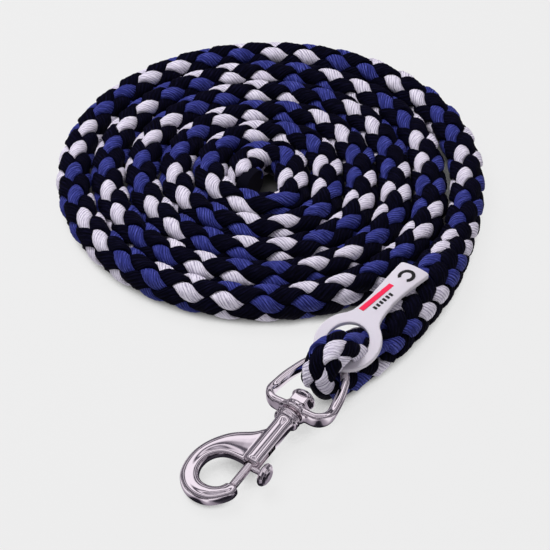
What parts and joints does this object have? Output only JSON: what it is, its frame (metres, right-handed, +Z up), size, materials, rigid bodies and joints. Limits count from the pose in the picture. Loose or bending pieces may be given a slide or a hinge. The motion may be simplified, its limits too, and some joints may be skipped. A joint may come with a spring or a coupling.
{
  "type": "lead rope",
  "caption": "Coiled braided horse lead rope with a spliced end, a rubber tag and a swivel bolt snap that opens with a thumb stud.",
  "frame": {"origin": "bottom centre of the whole object's bounding box, on the surface the rope lies on", "axes": "+Z up, +Y from the snap towards the coil, +X to the right when looking along +Y"},
  "size_m": [0.1994, 0.2848, 0.0279],
  "materials": {
    "braided_rope": "braided soft synthetic yarn, navy with blue and white strands",
    "strand_white": "soft spun yarn, slightly lustrous",
    "strand_blue": "soft spun yarn, slightly lustrous",
    "strand_navy": "soft spun yarn, slightly lustrous",
    "end_seal": "heat-sealed, dark",
    "white_rubber": "smooth soft moulded rubber",
    "red_print": "raised coloured inlay",
    "black_print": "raised coloured inlay",
    "chrome": "polished die-cast, bright plated",
    "spring_steel": "drawn wire"
  },
  "bodies": {
    "coil": {"rope_coil": "braided_rope", "rope_end_whipping": "end_seal"},
    "lead": {"rope_splice": "braided_rope", "buried_tail": "braided_rope", "eye_loop": "braided_rope"},
    "tag": {"label_tag": "white_rubber", "label_bar": "red_print", "label_dots": "black_print", "label_emblem": "black_print"},
    "eye": {"swivel_eye": "chrome"},
    "snap": {"snap_body": "chrome", "swivel_post": "chrome", "bolt_spring": "spring_steel"},
    "bolt": {"snap_bolt": "chrome", "thumb_stud": "chrome"}
  },
  "joints": [
    {"name": "lead_flex", "type": "hinge", "parent": "coil", "child": "lead", "pos_m": [0.07558, 0.08397, 0.0074], "axis": [-0.9107, -0.4131, 0], "range_deg": [0, 30]},
    {"name": "tag_lift", "type": "hinge", "parent": "lead", "child": "tag", "pos_m": [0.07352, -0.06384, 0.01703], "axis": [0.9826, -0.1857, 0], "range_deg": [0, 18]},
    {"name": "eye_swing", "type": "hinge", "parent": "lead", "child": "eye", "pos_m": [0.07211, -0.0603, 0.01345], "axis": [-0.9877, 0.1564, 0], "range_deg": [0, 20]},
    {"name": "snap_swivel", "type": "hinge", "parent": "eye", "child": "snap", "pos_m": [0.06717, -0.09151, 0.0099], "axis": [0.1555, 0.9815, 0.1115], "continuous": true},
    {"name": "bolt_slide", "type": "slide", "parent": "snap", "child": "bolt", "axis": [0.1555, 0.9815, 0.1115], "range_m": [0, 0.01], "deforming": ["bolt_spring"]}
  ]
}
